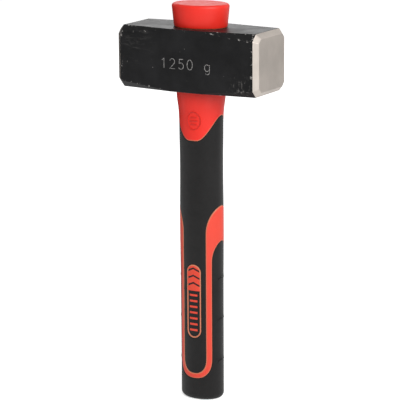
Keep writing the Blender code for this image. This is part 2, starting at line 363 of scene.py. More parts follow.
class Winding:
    """An edge of the band: it bows round the front, climbs straight and arches over the side.

    An inset moves it off the band, into the grip: upwards is 1 where the grip is above it, or -1.
    """

    def __init__(self, side, low, bow, high, arch, upwards):
        self.side = side
        self.low = low
        self.bow = bow
        self.high = high
        self.arch = arch
        self.upwards = upwards

    def moved(self, inset):
        """Angle of the straight climb, lowest height and highest height."""
        shift = inset * self.upwards
        side = self.side - math.degrees(shift / GRIP_HALF_WIDTH)
        return side, self.low + shift, self.high + shift

    def edge(self, angle, inset=0.0):
        """Height of the line at an angle."""
        side, low, high = self.moved(inset)
        if angle <= side:
            return low + self.bow * rounded(angle / side, FULL_POWER)
        return high - self.arch * rounded((90.0 - angle) / (90.0 - side), ROUND_POWER)

    def path(self, inset):
        side, low, high = self.moved(inset)
        path = []
        for n in range(CURVE_STEPS + 1):
            across, up = corner(n / CURVE_STEPS, FULL_POWER)
            path.append((side * across, low + self.bow * up))
        start = low + self.bow
        climb = high - self.arch - start
        steps = max(1, round(climb / STRAIGHT_STEP))
        path += [(side, start + climb * n / steps) for n in range(1, steps)]
        for n in range(CURVE_STEPS, -1, -1):
            across, up = corner(n / CURVE_STEPS, ROUND_POWER)
            path.append((90.0 - (90.0 - side) * across, high - self.arch * up))
        return path


PANEL_LINE = Winding(
    PANEL_ANGLE,
    PANEL_BOW_RISE,
    PANEL_BOW_HEIGHT,
    HEAD_BOTTOM - PANEL_ARCH_DROP,
    PANEL_ARCH_HEIGHT,
    upwards=1.0,
)
SIDE_LINE = Winding(
    SIDE_ANGLE,
    SIDE_BOW_RISE,
    SIDE_BOW_HEIGHT,
    HEAD_BOTTOM - SIDE_ARCH_DROP,
    SIDE_ARCH_HEIGHT,
    upwards=-1.0,
)


def in_pill(angle, z, inset):
    """True inside the badge's outline, drawn in by inset."""
    straight = (BADGE_LENGTH - BADGE_WIDTH) / 2.0
    x = GRIP_HALF_WIDTH * math.sin(math.radians(angle))
    beyond = max(abs(z - BADGE_MIDDLE) - straight, 0.0)
    return math.hypot(x, beyond) < BADGE_WIDTH / 2.0 - inset


def is_hard(angle, z):
    """True where the handle's hard body comes to the surface."""
    band = SIDE_LINE.edge(angle) < z < PANEL_LINE.edge(angle)
    border = in_pill(angle, z, 0.0) and not in_pill(angle, z, BADGE_BORDER)
    return z > tongue_edge(angle) or band or border


def pill_path(inset):
    """Right half of the badge's outline, from its top to its bottom."""
    half = BADGE_WIDTH / 2.0 - inset
    straight = (BADGE_LENGTH - BADGE_WIDTH) / 2.0
    steps = CURVE_STEPS // 2
    points = []
    for n in range(steps + 1):
        turn = math.radians(90.0 * n / steps)
        points.append((half * math.sin(turn), straight + half * math.cos(turn)))
    runs = round(2.0 * straight / STRAIGHT_STEP)
    points += [(half, straight - 2.0 * straight * n / runs) for n in range(1, runs)]
    points += [(x, -z) for x, z in reversed(points[: steps + 1])]
    return [(math.degrees(math.asin(x / GRIP_HALF_WIDTH)), BADGE_MIDDLE + z) for x, z in points]


class Drawing:
    """Points and lines on one quarter of the unrolled skin: (degrees round, height, depth, painted
    highlight).
    """

    def __init__(self):
        self.points = []
        self.lines = []

    def line(self, path, depth, painted_highlight=0.0):
        first = len(self.points)
        self.points += [(angle, z, depth, painted_highlight) for angle, z in path]
        self.lines += [(n, n + 1) for n in range(first, len(self.points) - 1)]

    def edge(self, path_at, width, depth, base=0.0, sign=1.0, start=0.0, least_painted_highlight=0.0):
        """Draws the lines over which a piece rounds down to its seam, from base to depth."""
        for along, down, painted_highlight in EDGE_PROFILE:
            path = path_at(start + sign * along * width)
            self.line(path, base + (depth - base) * down, max(painted_highlight, least_painted_highlight))

    def rib(self, z, base):
        """Draws a shallow groove with a soft lip over it; both fade in from the panel's front."""
        for shift, depth in RIB_PROFILE:
            first = len(self.points)
            for n in range(COLUMNS + 1):
                angle = n * COLUMN_STEP
                share = (angle - RIB_START_ANGLE) / (90.0 - RIB_START_ANGLE)
                if share >= 0.0:
                    fade = math.sin(math.radians(90.0 * min(1.0, share * RIB_FADE)))
                    height = z + shift + RIB_CLIMB * math.sin(math.radians(90.0 * share))
                    self.points.append((angle, height, base + depth * fade, 0.0))
            self.lines += [(n, n + 1) for n in range(first, len(self.points) - 1)]

    def row(self, z, depth):
        self.line([(n * COLUMN_STEP, z) for n in range(COLUMNS + 1)], depth)

    @staticmethod
    def flat(angle, z):
        """Place on the unrolled skin in millimetres."""
        return Vector((math.radians(angle) * GRIP_HALF_WIDTH / MILLIMETRE, z / MILLIMETRE))

    def dots(self, low, high, depth_at):
        """Fills the space between the lines with points, wherever depth_at gives a depth."""
        clear = DOT_CLEARANCE / MILLIMETRE
        taken = {}
        for angle, z, *_ in self.points:
            place = self.flat(angle, z)
            taken.setdefault((int(place.x // clear), int(place.y // clear)), []).append(place)
        rows = max(1, round((high - low) / DOT_ROW))
        for m in range(1, rows):
            z = low + (high - low) * m / rows
            for n in range(COLUMNS + 1):
                angle = n * COLUMN_STEP
                depth = depth_at(angle, z)
                place = self.flat(angle, z)
                cell = (int(place.x // clear), int(place.y // clear))
                near = [
                    other
                    for i in (-1, 0, 1)
                    for j in (-1, 0, 1)
                    for other in taken.get((cell[0] + i, cell[1] + j), ())
                ]
                if depth is not None and all((place - other).length > clear for other in near):
                    # The band's points carry a faint share of the painted highlight
                    painted_highlight = BAND_PAINTED_HIGHLIGHT if z < tongue_edge(angle) else 0.0
                    self.points.append((angle, z, depth, painted_highlight))

    def cut(self, keep):
        """The drawing's points, and its triangles whose middles are kept."""
        flats = [self.flat(angle, z) for angle, z, *_ in self.points]
        _, _, triangles, sources, _, _ = delaunay_2d_cdt(flats, self.lines, [], 0, WELD, True)
        if any(not source for source in sources):
            raise RuntimeError("two lines of a drawing cross")
        corners = [self.points[source[0]] for source in sources]
        kept = []
        for triangle in triangles:
            angle = sum(corners[n][0] for n in triangle) / 3.0
            z = sum(corners[n][1] for n in triangle) / 3.0
            if keep(angle, z):
                kept.append(tuple(triangle))
        return corners, kept


def open_edges(corners, triangles, closed_rows):
    """Edges of one triangle only, apart from those on the quarter's borders and on closed rows."""
    seen = set()
    for a, b, c in triangles:
        seen |= {(a, b), (b, c), (c, a)}
    found = []
    for a, b in seen:
        if (b, a) in seen:
            continue
        same_angle = corners[a][0] == corners[b][0] and corners[a][0] in (0.0, 90.0)
        same_row = corners[a][1] == corners[b][1] and corners[a][1] in closed_rows
        if not (same_angle or same_row):
            found.append((a, b))
    return found


def sew(bm, drawing, keep, inner_depth=None, sides=QUARTERS, closed_rows=()):
    """Adds the drawing to bm on each side: a skin or, with inner_depth, a shell with walls."""
    corners, triangles = drawing.cut(keep)
    # Each point's share of the painted highlight, which the red finish reads
    painted_highlight = bm.verts.layers.float.get("painted_highlight") or bm.verts.layers.float.new("painted_highlight")
    used = sorted({n for triangle in triangles for n in triangle})
    walls = open_edges(corners, triangles, closed_rows)
    for side in sides:
        outer = {n: bm.verts.new(skin_point(*corners[n][:3], side)) for n in used}
        for n, vert in outer.items():
            vert[painted_highlight] = corners[n][3]
        flip = side[0] * side[1] < 0.0
        for triangle in triangles:
            face = [outer[n] for n in triangle]
            bm.faces.new(reversed(face) if flip else face)
        if inner_depth is None:
            continue
        inner = {n: bm.verts.new(skin_point(*corners[n][:2], inner_depth, side)) for n in used}
        for triangle in triangles:
            face = [inner[n] for n in triangle]
            bm.faces.new(face if flip else reversed(face))
        for a, b in walls:
            wall = [outer[b], outer[a], inner[a], inner[b]]
            bm.faces.new(reversed(wall) if flip else wall)


def turn_angles():
    return [n * COLUMN_STEP for n in range(4 * COLUMNS)]


def oval_ring(bm, half_width, z, depth=0.0):
    return [bm.verts.new(oval_point(half_width, angle, z, depth)) for angle in turn_angles()]


def round_ring(bm, radius, z):
    ring = []
    for angle in turn_angles():
        around = math.radians(angle)
        ring.append(bm.verts.new((radius * math.sin(around), -radius * math.cos(around), z)))
    return ring


def bridge(bm, rings):
    """Joins rings with faces, one after another."""
    for upper, lower in zip(rings, rings[1:]):
        for n in range(len(upper)):
            after = (n + 1) % len(upper)
            bm.faces.new((upper[n], lower[n], lower[after], upper[after]))


def cap_ring(bm, ring, centre):
    middle = bm.verts.new(centre)
    for n in range(len(ring)):
        bm.faces.new((ring[n], ring[(n + 1) % len(ring)], middle))


def quarter_round(half_width, z, radius, steps, downwards=True):
    """(half-width, height, inset) round an edge, from the flat end to the side."""
    stations = []
    for n in range(steps + 1):
        turn = math.radians(90.0 * (1.0 - n / steps))
        away = radius * (1.0 - math.sin(turn))
        inset = radius * (1.0 - math.cos(turn))
        stations.append((half_width, z - away if downwards else z + away, inset))
    return stations


# Objects and materials


def linked_object(name, bm):
    mesh = bpy.data.meshes.new(name)
    bm.to_mesh(mesh)
    bm.free()
    made = bpy.data.objects.new(name, mesh)
    bpy.context.scene.collection.objects.link(made)
    return made


def finished_object(name, bm, materials, nodes=(), sharp=40.0):
    """Makes a piece from bm, rides it on the one body and hides the CAD nodes it stands for."""
    bmesh.ops.remove_doubles(bm, verts=bm.verts, dist=WELD)
    bmesh.ops.recalc_face_normals(bm, faces=bm.faces)
    piece = linked_object(name, bm)
    mesh = piece.data
    mesh.shade_smooth()
    mesh.set_sharp_from_angle(angle=math.radians(sharp))
    for material in materials:
        mesh.materials.append(material)
    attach(piece, "root")
    if nodes:
        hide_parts(*nodes)
    return piece


class Finish:
    """A procedural material under construction."""

    # The colour sockets of Blender's Mix node, whose names its number sockets share
    mix_colours = (6, 7)
    mixed_colour = 2

    def __init__(self, name, colour, roughness, metallic=0.0, specular=0.5):
        self.material = bpy.data.materials.get(name) or bpy.data.materials.new(name)
        self.material.use_nodes = True
        self.nodes = self.material.node_tree.nodes
        self.links = self.material.node_tree.links
        self.nodes.clear()
        self.shader = self.nodes.new("ShaderNodeBsdfPrincipled")
        output = self.nodes.new("ShaderNodeOutputMaterial")
        self.links.new(self.shader.outputs["BSDF"], output.inputs["Surface"])
        self.place = self.nodes.new("ShaderNodeTexCoord").outputs["Object"]
        self.set(self.shader, "Base Color", (*colour, 1.0))
        self.set(self.shader, "Roughness", roughness)
        self.set(self.shader, "Metallic", metallic)
        self.set(self.shader, "Specular IOR Level", specular)

    def set(self, node, socket, value):
        if isinstance(value, bpy.types.NodeSocket):
            self.links.new(value, node.inputs[socket])
        else:
            node.inputs[socket].default_value = value

    def drive(self, socket, value):
        self.set(self.shader, socket, value)

    def node(self, kind, output, inputs, **settings):
        """Adds a node with its settings and inputs, and gives one of its outputs."""
        made = self.nodes.new(kind)
        for setting, value in settings.items():
            setattr(made, setting, value)
        for socket, value in inputs.items():
            self.set(made, socket, value)
        return made.outputs[output]

    def noise(self, scale, detail=3.0, roughness=0.5, stretch=(1.0, 1.0, 1.0)):
        """Noise with this many features per metre, drawn out along the axes with a low stretch."""
        place = self.node("ShaderNodeMapping", "Vector", {"Vector": self.place, "Scale": stretch})
        inputs = {"Vector": place, "Scale": scale, "Detail": detail, "Roughness": roughness}
        return self.node("ShaderNodeTexNoise", "Fac", inputs)

    def cells(self, scale):
        return self.node("ShaderNodeTexVoronoi", "Distance", {"Vector": self.place, "Scale": scale})

    def attribute(self, name):
        return self.node("ShaderNodeAttribute", "Fac", {}, attribute_name=name)

    def near(self, place, full, none):
        """1 within one distance of a place on the piece, fading to 0 at another."""
        inputs = {0: self.place, 1: place}
        away = self.node("ShaderNodeVectorMath", "Value", inputs, operation="DISTANCE")
        return self.span(away, none, full)

    def span(self, value, low, high, to_low=0.0, to_high=1.0):
        """Maps a value's range onto another, clamped."""
        inputs = {"Value": value, "From Min": low, "From Max": high}
        inputs.update({"To Min": to_low, "To Max": to_high})
        return self.node("ShaderNodeMapRange", "Result", inputs)

    def maths(self, operation, first, second):
        return self.node("ShaderNodeMath", "Value", {0: first, 1: second}, operation=operation)

    def blend(self, share, first, second):
        inputs = {"Factor": share}
        for socket, colour in zip(self.mix_colours, (first, second)):
            inputs[socket] = colour if isinstance(colour, bpy.types.NodeSocket) else (*colour, 1.0)
        return self.node("ShaderNodeMix", self.mixed_colour, inputs, data_type="RGBA")

    def relief(self, height, distance, under=None, strength=1.0):
        """Bump from a height, in metres, over any relief already made."""
        inputs = {"Height": height, "Distance": distance, "Strength": strength}
        if under is not None:
            inputs["Normal"] = under
        return self.node("ShaderNodeBump", "Normal", inputs)


def tinted(colour, share):
    return tuple(min(1.0, part * share) for part in colour)


def black_lacquer(colours):
    """Baked black lacquer over forged steel, chipped along the arrises."""
    finish = Finish("black_lacquer", colours.lacquer, 0.36, specular=0.21)
    cloud = finish.noise(70.0, 4.0, 0.6)
    grain = finish.noise(900.0, 3.0, 0.6)
    deep, thin = tinted(colours.lacquer, 0.75), tinted(colours.lacquer, 1.45)
    base = finish.blend(finish.span(cloud, 0.35, 0.65), deep, thin)
    speck = finish.span(finish.noise(420.0, 2.0, 0.5), 0.735, 0.76)
    chip = finish.maths(
        "MULTIPLY",
        finish.span(finish.attribute("wear"), 0.35, 0.8),
        finish.span(finish.noise(330.0, 4.0, 0.7), 0.58, 0.65),
    )
    upright = finish.noise(420.0, 4.0, 0.75, (1.0, 1.0, 0.45))
    level = finish.noise(300.0, 4.0, 0.75, (0.25, 1.0, 1.0))
    scratches = finish.span(upright, 0.54, 0.66, 0.0, 0.30)
    scuffs = finish.span(level, 0.55, 0.70, 0.0, 0.10)
    rubbed = finish.maths(
        "MAXIMUM",
        finish.maths("MULTIPLY", scratches, finish.near(SCRATCHED_PLACE, 0.003, 0.010)),
        finish.maths("MULTIPLY", scuffs, finish.near(SCUFFED_PLACE, 0.005, 0.018)),
    )
    bare = finish.maths("MAXIMUM", finish.maths("MAXIMUM", speck, chip), rubbed)
    bare_steel = (0.30, 0.285, 0.27)
    finish.drive("Base Color", finish.blend(bare, base, bare_steel))
    finish.drive("Roughness", finish.span(cloud, 0.3, 0.7, 0.30, 0.46))
    waves = finish.relief(finish.noise(140.0, 2.0, 0.5), 0.00025, strength=0.5)
    skin = finish.relief(grain, 0.00005, waves, 0.7)
    finish.drive("Normal", finish.relief(finish.maths("SUBTRACT", 1.0, bare), 0.00006, skin, 0.8))
    return finish.material


def ground_steel(name, colour, lines):
    """Ground steel; lines stretches the grinding marks along the face."""
    finish = Finish(name, colour, 0.42, metallic=1.0)
    marks = finish.noise(1800.0, 3.0, 0.6, lines)
    tone = finish.noise(60.0, 3.0, 0.5)
    shade = finish.blend(finish.span(tone, 0.35, 0.65), tinted(colour, 0.93), tinted(colour, 1.06))
    finish.drive("Base Color", shade)
    finish.drive("Roughness", finish.span(marks, 0.3, 0.7, 0.36, 0.52))
    finish.drive("Normal", finish.relief(marks, 0.00002, strength=0.6))
    return finish.material


def stamped_steel():
    """Worn bottom of the stamped figures: lacquer and bare steel in patches."""
    lacquered, bare = (0.10, 0.10, 0.10), (0.34, 0.33, 0.32)
    finish = Finish("stamped_steel", lacquered, 0.7, specular=0.2)
    patches = finish.span(finish.noise(900.0, 2.0, 0.6), 0.35, 0.6)
    finish.drive("Base Color", finish.blend(patches, lacquered, bare))
    return finish.material


def moulded_plastic(name, colour, painted_highlight):
    """Hard moulded plastic with a fine satin skin, a few handling marks and a painted highlight
    along its seam edges.
    """
    roughness = 0.42
    finish = Finish(name, colour, roughness, specular=0.40)
    cloud = finish.noise(45.0, 3.0, 0.5)
    tone = finish.blend(finish.span(cloud, 0.3, 0.7), tinted(colour, 0.95), tinted(colour, 1.03))
    # Mixes in the paler colour of the painted highlight, standing in for light caught by the seam
    # edges
    finish.drive("Base Color", finish.blend(finish.attribute("painted_highlight"), tone, painted_highlight))
    scuffs = finish.noise(260.0, 4.0, 0.65, (1.0, 1.0, 0.12))
    finish.drive("Roughness", finish.span(scuffs, 0.35, 0.7, roughness - 0.05, roughness + 0.10))
    ripple = finish.relief(finish.noise(160.0, 2.0, 0.5), 0.00006, strength=0.5)
    finish.drive("Normal", finish.relief(finish.noise(2600.0, 2.0, 0.6), 0.000012, ripple, 0.6))
    return finish.material


def soft_plastic(name, colour):
    """Soft black plastic with a spark-eroded grain and a faint bloom."""
    finish = Finish(name, colour, 0.62, specular=0.20)
    cloud = finish.noise(55.0, 4.0, 0.55)
    tone = finish.blend(finish.span(cloud, 0.3, 0.7), tinted(colour, 0.82), tinted(colour, 1.25))
    finish.drive("Base Color", tone)
    finish.drive("Roughness", finish.span(finish.noise(300.0, 3.0, 0.6), 0.3, 0.7, 0.54, 0.68))
    finish.drive("Sheen Weight", 0.15)
    finish.drive("Sheen Roughness", 0.5)
    grain = finish.relief(finish.cells(2400.0), 0.00006, strength=0.35)
    finish.drive("Normal", finish.relief(finish.noise(5200.0, 2.0, 0.6), 0.00003, grain, 0.5))
    return finish.material


def cured_resin(colour):
    """Cloudy amber resin with fine bubbles."""
    finish = Finish("cured_resin", colour, 0.35)
    cloud = finish.noise(200.0, 3.0, 0.5)
    finish.drive("Base Color", finish.blend(cloud, tinted(colour, 0.7), tinted(colour, 1.2)))
    finish.drive("Normal", finish.relief(finish.cells(900.0), 0.0001, strength=0.4))
    return finish.material


def drawn_fibreglass(colour):
    """Pultruded rod with its fibres along Z."""
    finish = Finish("drawn_fibreglass", colour, 0.45)
    fibres = finish.noise(2200.0, 3.0, 0.6, (1.0, 1.0, 0.02))
    finish.drive("Base Color", finish.blend(fibres, tinted(colour, 0.75), tinted(colour, 1.15)))
    finish.drive("Normal", finish.relief(fibres, 0.00005, strength=0.5))
    return finish.material


# Pieces


def fillet(corners, radius, steps):
    """A closed outline with its corners rounded, and how worn each point is."""
    points = []
    count = len(corners)
    for n, here in enumerate(corners):
        before = (corners[n - 1] - here).normalized()
        after = (corners[(n + 1) % count] - here).normalized()
        room = min((corners[n - 1] - here).length, (corners[(n + 1) % count] - here).length)
        half = before.angle(after) / 2.0
        reach = min(radius / math.tan(half), room * 0.42)
        bend = reach * math.tan(half)
        centre = here + (before + after).normalized() * (bend / math.sin(half))
        guard = reach + min(WEAR_BAND, (room - 2.0 * reach) * 0.3)
        points.append((here + before * guard, 0.0))
        start = here + before * reach - centre
        end = here + after * reach - centre
        for step in range(steps + 1):
            arm = start.lerp(end, step / steps).normalized() * bend
            points.append((centre + arm, 1.0))
        points.append((here + after * guard, 0.0))
    return points


def head_outline(half_side, chamfer, radius):
    """Section of the head across X: a square with cut and rounded corners."""
    short = half_side - chamfer
    corners = [(short, -half_side), (half_side, -short), (half_side, short), (short, half_side)]
    corners += [(-y, -z) for y, z in corners]
    return fillet([Vector(corner) for corner in corners], radius, 3)


def head_stations(radius):
    """(x, half side, chamfer, worn) from the middle of the head to its striking face."""
    shoulder = HEAD_HALF_LENGTH - FACE_BEVEL
    plain = PLAIN_LENGTH / 2.0
    stations = [(x, HEAD_HALF_SIDE, LEAST_CHAMFER, 0.0) for x in (0.0, plain)]
    for step in range(1, HEAD_STATIONS + 1):
        share = step / HEAD_STATIONS
        x = plain + (shoulder - radius - plain) * share
        chamfer = LEAST_CHAMFER + (CORNER_CHAMFER - LEAST_CHAMFER) * share**CHAMFER_POWER
        stations.append((x, HEAD_HALF_SIDE, chamfer, 1.0 if step == HEAD_STATIONS else 0.0))
    profile = [
        (shoulder - radius * 0.4, 0.0),
        (shoulder, radius * 0.12),
        (shoulder + radius * 0.5, radius * 0.5),
        (HEAD_HALF_LENGTH - radius * 0.7, FACE_BEVEL - radius * 0.7),
        (HEAD_HALF_LENGTH - radius * 0.2, FACE_BEVEL),
        (HEAD_HALF_LENGTH, FACE_BEVEL + radius * 0.6),
    ]
    slimming = 2.0 - math.sqrt(2.0)
    for x, drop in profile:
        stations.append((x, HEAD_HALF_SIDE - drop, CORNER_CHAMFER - drop * slimming, 1.0))
    return stations


def head_mesh(radius):
    """Block with tapering chamfers; the second material is for its bevels, the third its ends."""
    bm = bmesh.new()
    wear = bm.verts.layers.float.new("wear")
    half = head_stations(radius)
    whole = [(-x, *rest) for x, *rest in reversed(half[1:])] + half
    rings = []
    for x, half_side, chamfer, worn in whole:
        ring = []
        uneven = 1.0 + UNEVENNESS * noise.noise(Vector((x * 160.0, 0.3, 0.7)))
        for point, edge in head_outline(half_side, chamfer * uneven, radius):
            vert = bm.verts.new((x, point.x, HEAD_MIDDLE + point.y))
            vert[wear] = max(edge, worn)
            ring.append(vert)
        rings.append(ring)
    bridge(bm, rings)
    bm.faces.new(rings[0])
    bm.faces.new(reversed(rings[-1]))
    shoulder = HEAD_HALF_LENGTH - FACE_BEVEL
    for face in bm.faces:
        across = abs(face.calc_center_median().x)
        if across > HEAD_HALF_LENGTH - radius * 0.3:
            face.material_index = 2
        elif across > shoulder - radius * 0.1:
            face.material_index = 1
    bmesh.ops.recalc_face_normals(bm, faces=bm.faces)
    return bm


def cut_away(piece, tool):
    """Subtracts the tool from the piece for good, and removes the tool."""
    step = piece.modifiers.new("cut", "BOOLEAN")
    step.operation = "DIFFERENCE"
    step.solver = "MANIFOLD"
    step.object = tool
    graph = bpy.context.evaluated_depsgraph_get()
    carved = bpy.data.meshes.new_from_object(piece.evaluated_get(graph), depsgraph=graph)
    piece.modifiers.clear()
    old = piece.data
    if len(carved.polygons) in (0, len(old.polygons)):
        raise RuntimeError(tool.name + " cut nothing or everything")
    name = old.name
    piece.data = carved
    bpy.data.meshes.remove(old)
    while carved.materials[-1] is None:
        carved.materials.pop()
    carved.name = name
    bpy.data.objects.remove(tool, do_unlink=True)


def eye_tool():
    bm = bmesh.new()
    spare = 0.002
    play = BOND_HIGH.x - NECK_HALF_WIDTH + GAP
    top = oval_ring(bm, NECK_HALF_WIDTH, HEAD_TOP + spare, -play)
    bottom = oval_ring(bm, COLLAR_HALF_WIDTH, HEAD_BOTTOM - spare, -play)
    bridge(bm, [top, bottom])
    bm.faces.new(top)
    bm.faces.new(reversed(bottom))
    bmesh.ops.recalc_face_normals(bm, faces=bm.faces)
    return linked_object("eye_tool", bm)


def arc(centre_x, centre_y, radius_x, radius_y, start, end, steps=14):
    """Points on an oval arc; angles in degrees, anticlockwise from the right."""
    turns = [math.radians(start + (end - start) * n / steps) for n in range(steps + 1)]
    return [(centre_x + radius_x * math.cos(t), centre_y + radius_y * math.sin(t)) for t in turns]


def figure_strokes():
    """Figures of single strokes, one unit tall: the weight in grams and its unit."""
    one = [(0.10, 0.78), (0.34, 1.0), (0.34, 0.0)]
    two = arc(0.30, 0.71, 0.28, 0.29, 165.0, -35.0) + [(0.02, 0.0), (0.62, 0.0)]
    five = [(0.56, 1.0), (0.13, 1.0), (0.09, 0.585)] + arc(0.29, 0.32, 0.30, 0.32, 112.0, -150.0)
    nought = arc(0.31, 0.5, 0.30, 0.5, 92.0, 446.0, 30)
    bowl = arc(0.27, 0.33, 0.27, 0.33, 40.0, 320.0, 20)
    stem = [(0.56, 0.66), (0.56, -0.08)] + arc(0.30, -0.08, 0.26, 0.24, 0.0, -150.0)
    figures = ([one], [two], [five], [nought], [], [bowl, stem])
    pitch = 1.0
    figure_width = 0.6
    shift = -(pitch * len(figures) - (pitch - figure_width)) / 2.0
    strokes = []
    for n, figure in enumerate(figures):
        for stroke in figure:
            strokes.append([Vector((x + shift + pitch * n, y - 0.5)) for x, y in stroke])
    return strokes


def ribbon(bm, stroke, half_width, place):
    """A closed bar along a stroke, with square ends; place gives the point at a spot and level."""
    rings = []
    for n, here in enumerate(stroke):
        before = (here - stroke[max(n - 1, 0)]).normalized()
        after = (stroke[min(n + 1, len(stroke) - 1)] - here).normalized()
        along = (before + after).normalized()
        mitre = half_width / max(0.5, along.dot(after if after.length else before))
        across = Vector((-along.y, along.x)) * mitre
        section = ((across, -1.0), (-across, -1.0), (-across, 1.0), (across, 1.0))
        rings.append([bm.verts.new(place(here + aside, level)) for aside, level in section])
    bridge(bm, rings)
    bm.faces.new(rings[0])
    bm.faces.new(reversed(rings[-1]))


def stamp_tool(sizes):
    """The weight's figures as bars that stand through the head's front face."""
    middle = HEAD_MIDDLE - sizes.mark_height * 0.3
    bm = bmesh.new()

    def place(point, level):
        x = point.x * sizes.mark_height
        z = middle + point.y * sizes.mark_height
        return (x, -HEAD_HALF_SIDE + level * sizes.mark_depth, z)

    for stroke in figure_strokes():
        ribbon(bm, stroke, sizes.mark_stroke / sizes.mark_height / 2.0, place)
    bmesh.ops.recalc_face_normals(bm, faces=bm.faces)
    return linked_object("stamp_tool", bm)


def colour_stamp(head, depth):
    """Gives the sunk faces of the stamped weight their own finish."""
    steel = head.data.materials.find("stamped_steel")
    for face in head.data.polygons:
        sunk = face.center.y + HEAD_HALF_SIDE
        clear_of_chamfers = abs(face.center.z - HEAD_MIDDLE) < HEAD_HALF_SIDE / 2.0
        if clear_of_chamfers and WELD < sunk < depth * 2.0 and abs(face.center.x) < PLAIN_LENGTH:
            face.material_index = steel


class LUMPHAMMER_OT_head(bpy.types.Operator):
    """Builds the forged head with its eye, ground striking faces and stamped weight"""

    bl_idname = "lumphammer.head"
    bl_label = "Forged Head"

    def execute(self, context):
        sizes = context.scene.hammer_sizes
        colours = context.scene.hammer_colours
        materials = [
            black_lacquer(colours),
            # The bevels' steel is tinted brighter than the faces' as a painted highlight, standing
            # in for the key light they catch
            ground_steel("ground_bevel_painted_highlight", tinted(colours.steel, 1.32), (0.15, 1.0, 1.0)),
            ground_steel("ground_face", tinted(colours.steel, 1.04), (1.0, 1.0, 0.05)),
            stamped_steel(),
        ]
        bm = head_mesh(sizes.arris_radius)
        head = finished_object("forged_head", bm, materials, ["hammer_head"], 50.0)
        cut_away(head, eye_tool())
        cut_away(head, stamp_tool(sizes))
        colour_stamp(head, sizes.mark_depth)
        smooth = head.modifiers.new("flat faces", "WEIGHTED_NORMAL")
        smooth.keep_sharp = True
        smooth.weight = 80
        return {"FINISHED"}


def body_drawing(sizes):
    width, depth = sizes.seam_width, sizes.seam_depth
    drawing = Drawing()
    drawing.row(HEAD_BOTTOM, 0.0)
    drawing.row(BODY_BOTTOM, SOFT_THICKNESS)
    # The band's seams and the badge's border carry at least a share of the painted highlight
    lines = ((tongue_path, 0.0), (PANEL_LINE.path, BAND_PAINTED_HIGHLIGHT), (SIDE_LINE.path, BAND_PAINTED_HIGHLIGHT))
    for path_at, least_painted_highlight in lines:
        drawing.edge(path_at, width, depth, sign=-1.0, least_painted_highlight=least_painted_highlight)
        drawing.line(path_at(FOOT), SOFT_THICKNESS)
    for start, sign in ((0.0, 1.0), (BADGE_BORDER, -1.0)):
        drawing.edge(pill_path, NARROW_SEAM, depth, sign=sign, start=start, least_painted_highlight=BORDER_PAINTED_HIGHLIGHT)
        drawing.line(pill_path(start - sign * FOOT), SOFT_THICKNESS)

    def depth_at(angle, z):
        return 0.0 if is_hard(angle, z) else SOFT_THICKNESS

    drawing.dots(BODY_BOTTOM, HEAD_BOTTOM, depth_at)
    return drawing


def cap_stations():
    """(half-width, height, inset) down the cap and the neck, from the cap's top to the collar."""
    stations = [(CAP_TOP_HALF_WIDTH, CAP_TOP, inset) for inset in CROWN_INSETS]
    stations += quarter_round(CAP_TOP_HALF_WIDTH, CAP_TOP, CAP_ROUND, 8)
    wall_top = CAP_TOP - CAP_ROUND
    for share in (0.25, 0.5, 0.75, 0.93):
        flare = (CAP_BASE_HALF_WIDTH - CAP_TOP_HALF_WIDTH) * share
        z = wall_top + (CAP_SEAT - wall_top) * share
        stations.append((CAP_TOP_HALF_WIDTH + flare, z, 0.0))
    stations.append((CAP_BASE_HALF_WIDTH, CAP_SEAT + CAP_FOOT * 0.3, CAP_FOOT * 0.24))
    stations.append((CAP_BASE_HALF_WIDTH, CAP_SEAT, CAP_FOOT))
    stations.append((NECK_HALF_WIDTH, CAP_SEAT, 0.0))
    stations.append((COLLAR_HALF_WIDTH, HEAD_BOTTOM, 0.0))
    return stations


class LUMPHAMMER_OT_body(bpy.types.Operator):
    """Builds the hard red body: cap, neck, collar, winding band and badge borders"""

    bl_idname = "lumphammer.body"
    bl_label = "Handle Body"

    def execute(self, context):
        sizes = context.scene.hammer_sizes
        colours = context.scene.hammer_colours
        red = moulded_plastic("red_moulding", colours.hard_red, colours.painted_highlight)
        bm = bmesh.new()
        rings = [oval_ring(bm, *station) for station in cap_stations()]
        bridge(bm, rings)
        cap_ring(bm, rings[0], (0.0, 0.0, CAP_TOP))
        sew(bm, body_drawing(sizes), lambda angle, z: True)
        bore = CORE_RADIUS + GAP
        bore_top = CORE_HIGH.z + GAP
        bottom = oval_ring(bm, smooth_outline(BODY_BOTTOM), BODY_BOTTOM, SOFT_THICKNESS)
        bored = [round_ring(bm, bore, z) for z in (BODY_BOTTOM, bore_top)]
        bridge(bm, [bottom, *bored])
        cap_ring(bm, bored[-1], (0.0, 0.0, bore_top))
        finished_object("red_handle_body", bm, [red], ["handle_body"])
        return {"FINISHED"}


def soft_edges(drawing, path_at, sizes, outwards=1.0):
    """Seam rounding of a soft piece, a gap away from the seam line."""
    drawing.edge(
        path_at,
        sizes.seam_width,
        sizes.seam_depth,
        sizes.soft_sink,
        sign=outwards,
        start=outwards * sizes.seam_gap,
    )


def soft_shell(drawing, keep, low, high, sizes, sides=QUARTERS, closed_rows=()):
    """Fills a soft piece's drawing between two heights and sews it into a shell."""

    def depth_at(angle, z):
        return sizes.soft_sink if keep(angle, z) else None

    drawing.dots(low, high, depth_at)
    bm = bmesh.new()
    sew(bm, drawing, keep, SOFT_THICKNESS - GAP, sides, closed_rows)
    return bm


